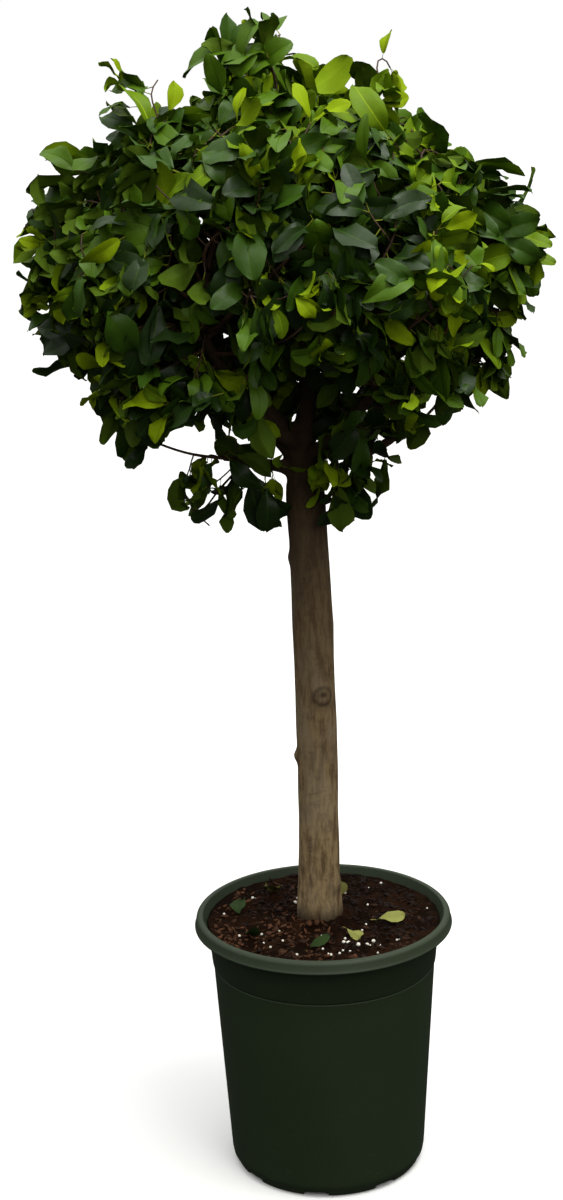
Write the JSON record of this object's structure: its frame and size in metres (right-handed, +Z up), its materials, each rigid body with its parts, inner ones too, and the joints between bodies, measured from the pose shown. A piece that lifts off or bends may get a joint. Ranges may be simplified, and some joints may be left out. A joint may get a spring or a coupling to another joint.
{
  "type": "standard fig topiary in a nursery pot",
  "caption": "Small broad-leaved evergreen tree trained as a round shaggy head on one bare stem, growing in a round ribless plastic pot filled with potting mix.",
  "frame": {"origin": "centre of the pot's flat underside", "axes": "+Z up along the stem, +X to the tree's right, -Y to its front"},
  "size_m": [0.6008, 0.5706, 1.3767],
  "materials": {
    "pot_plastic": "satin",
    "potting_mix": "matte",
    "bark": "matte",
    "young_bark": "matte",
    "foliage": "satin"
  },
  "bodies": {
    "root": {"bough_back_left": "young_bark", "bough_back_right": "young_bark", "bough_front_left": "young_bark", "bough_front_right": "young_bark", "bough_leader": "young_bark", "bough_low_left": "young_bark", "bough_low_right": "young_bark", "bough_right": "young_bark", "bough_up_left": "young_bark", "mass_far_left": "foliage", "mass_fork": "foliage", "mass_fork_left": "foliage", "mass_hanging_left": "foliage", "mass_heart": "foliage", "mass_left_shoot": "foliage", "mass_left_top_shoot": "foliage", "mass_low_back": "foliage", "mass_low_front": "foliage", "mass_low_left": "foliage", "mass_low_right": "foliage", "mass_lower_back_left": "foliage", "mass_lower_back_right": "foliage", "mass_lower_front_left": "foliage", "mass_lower_front_right": "foliage", "mass_lower_right": "foliage", "mass_middle_back": "foliage", "mass_middle_back_left": "foliage", "mass_middle_back_right": "foliage", "mass_middle_front": "foliage", "mass_middle_front_left": "foliage", "mass_middle_front_right": "foliage", "mass_middle_left": "foliage", "mass_middle_right": "foliage", "mass_right_shoot": "foliage", "mass_top": "foliage", "mass_top_shoot": "foliage", "mass_upper_back": "foliage", "mass_upper_front": "foliage", "mass_upper_left": "foliage", "mass_upper_right": "foliage", "pot": "pot_plastic", "potting_mix": "potting_mix", "stem": "bark"}
  },
  "joints": []
}
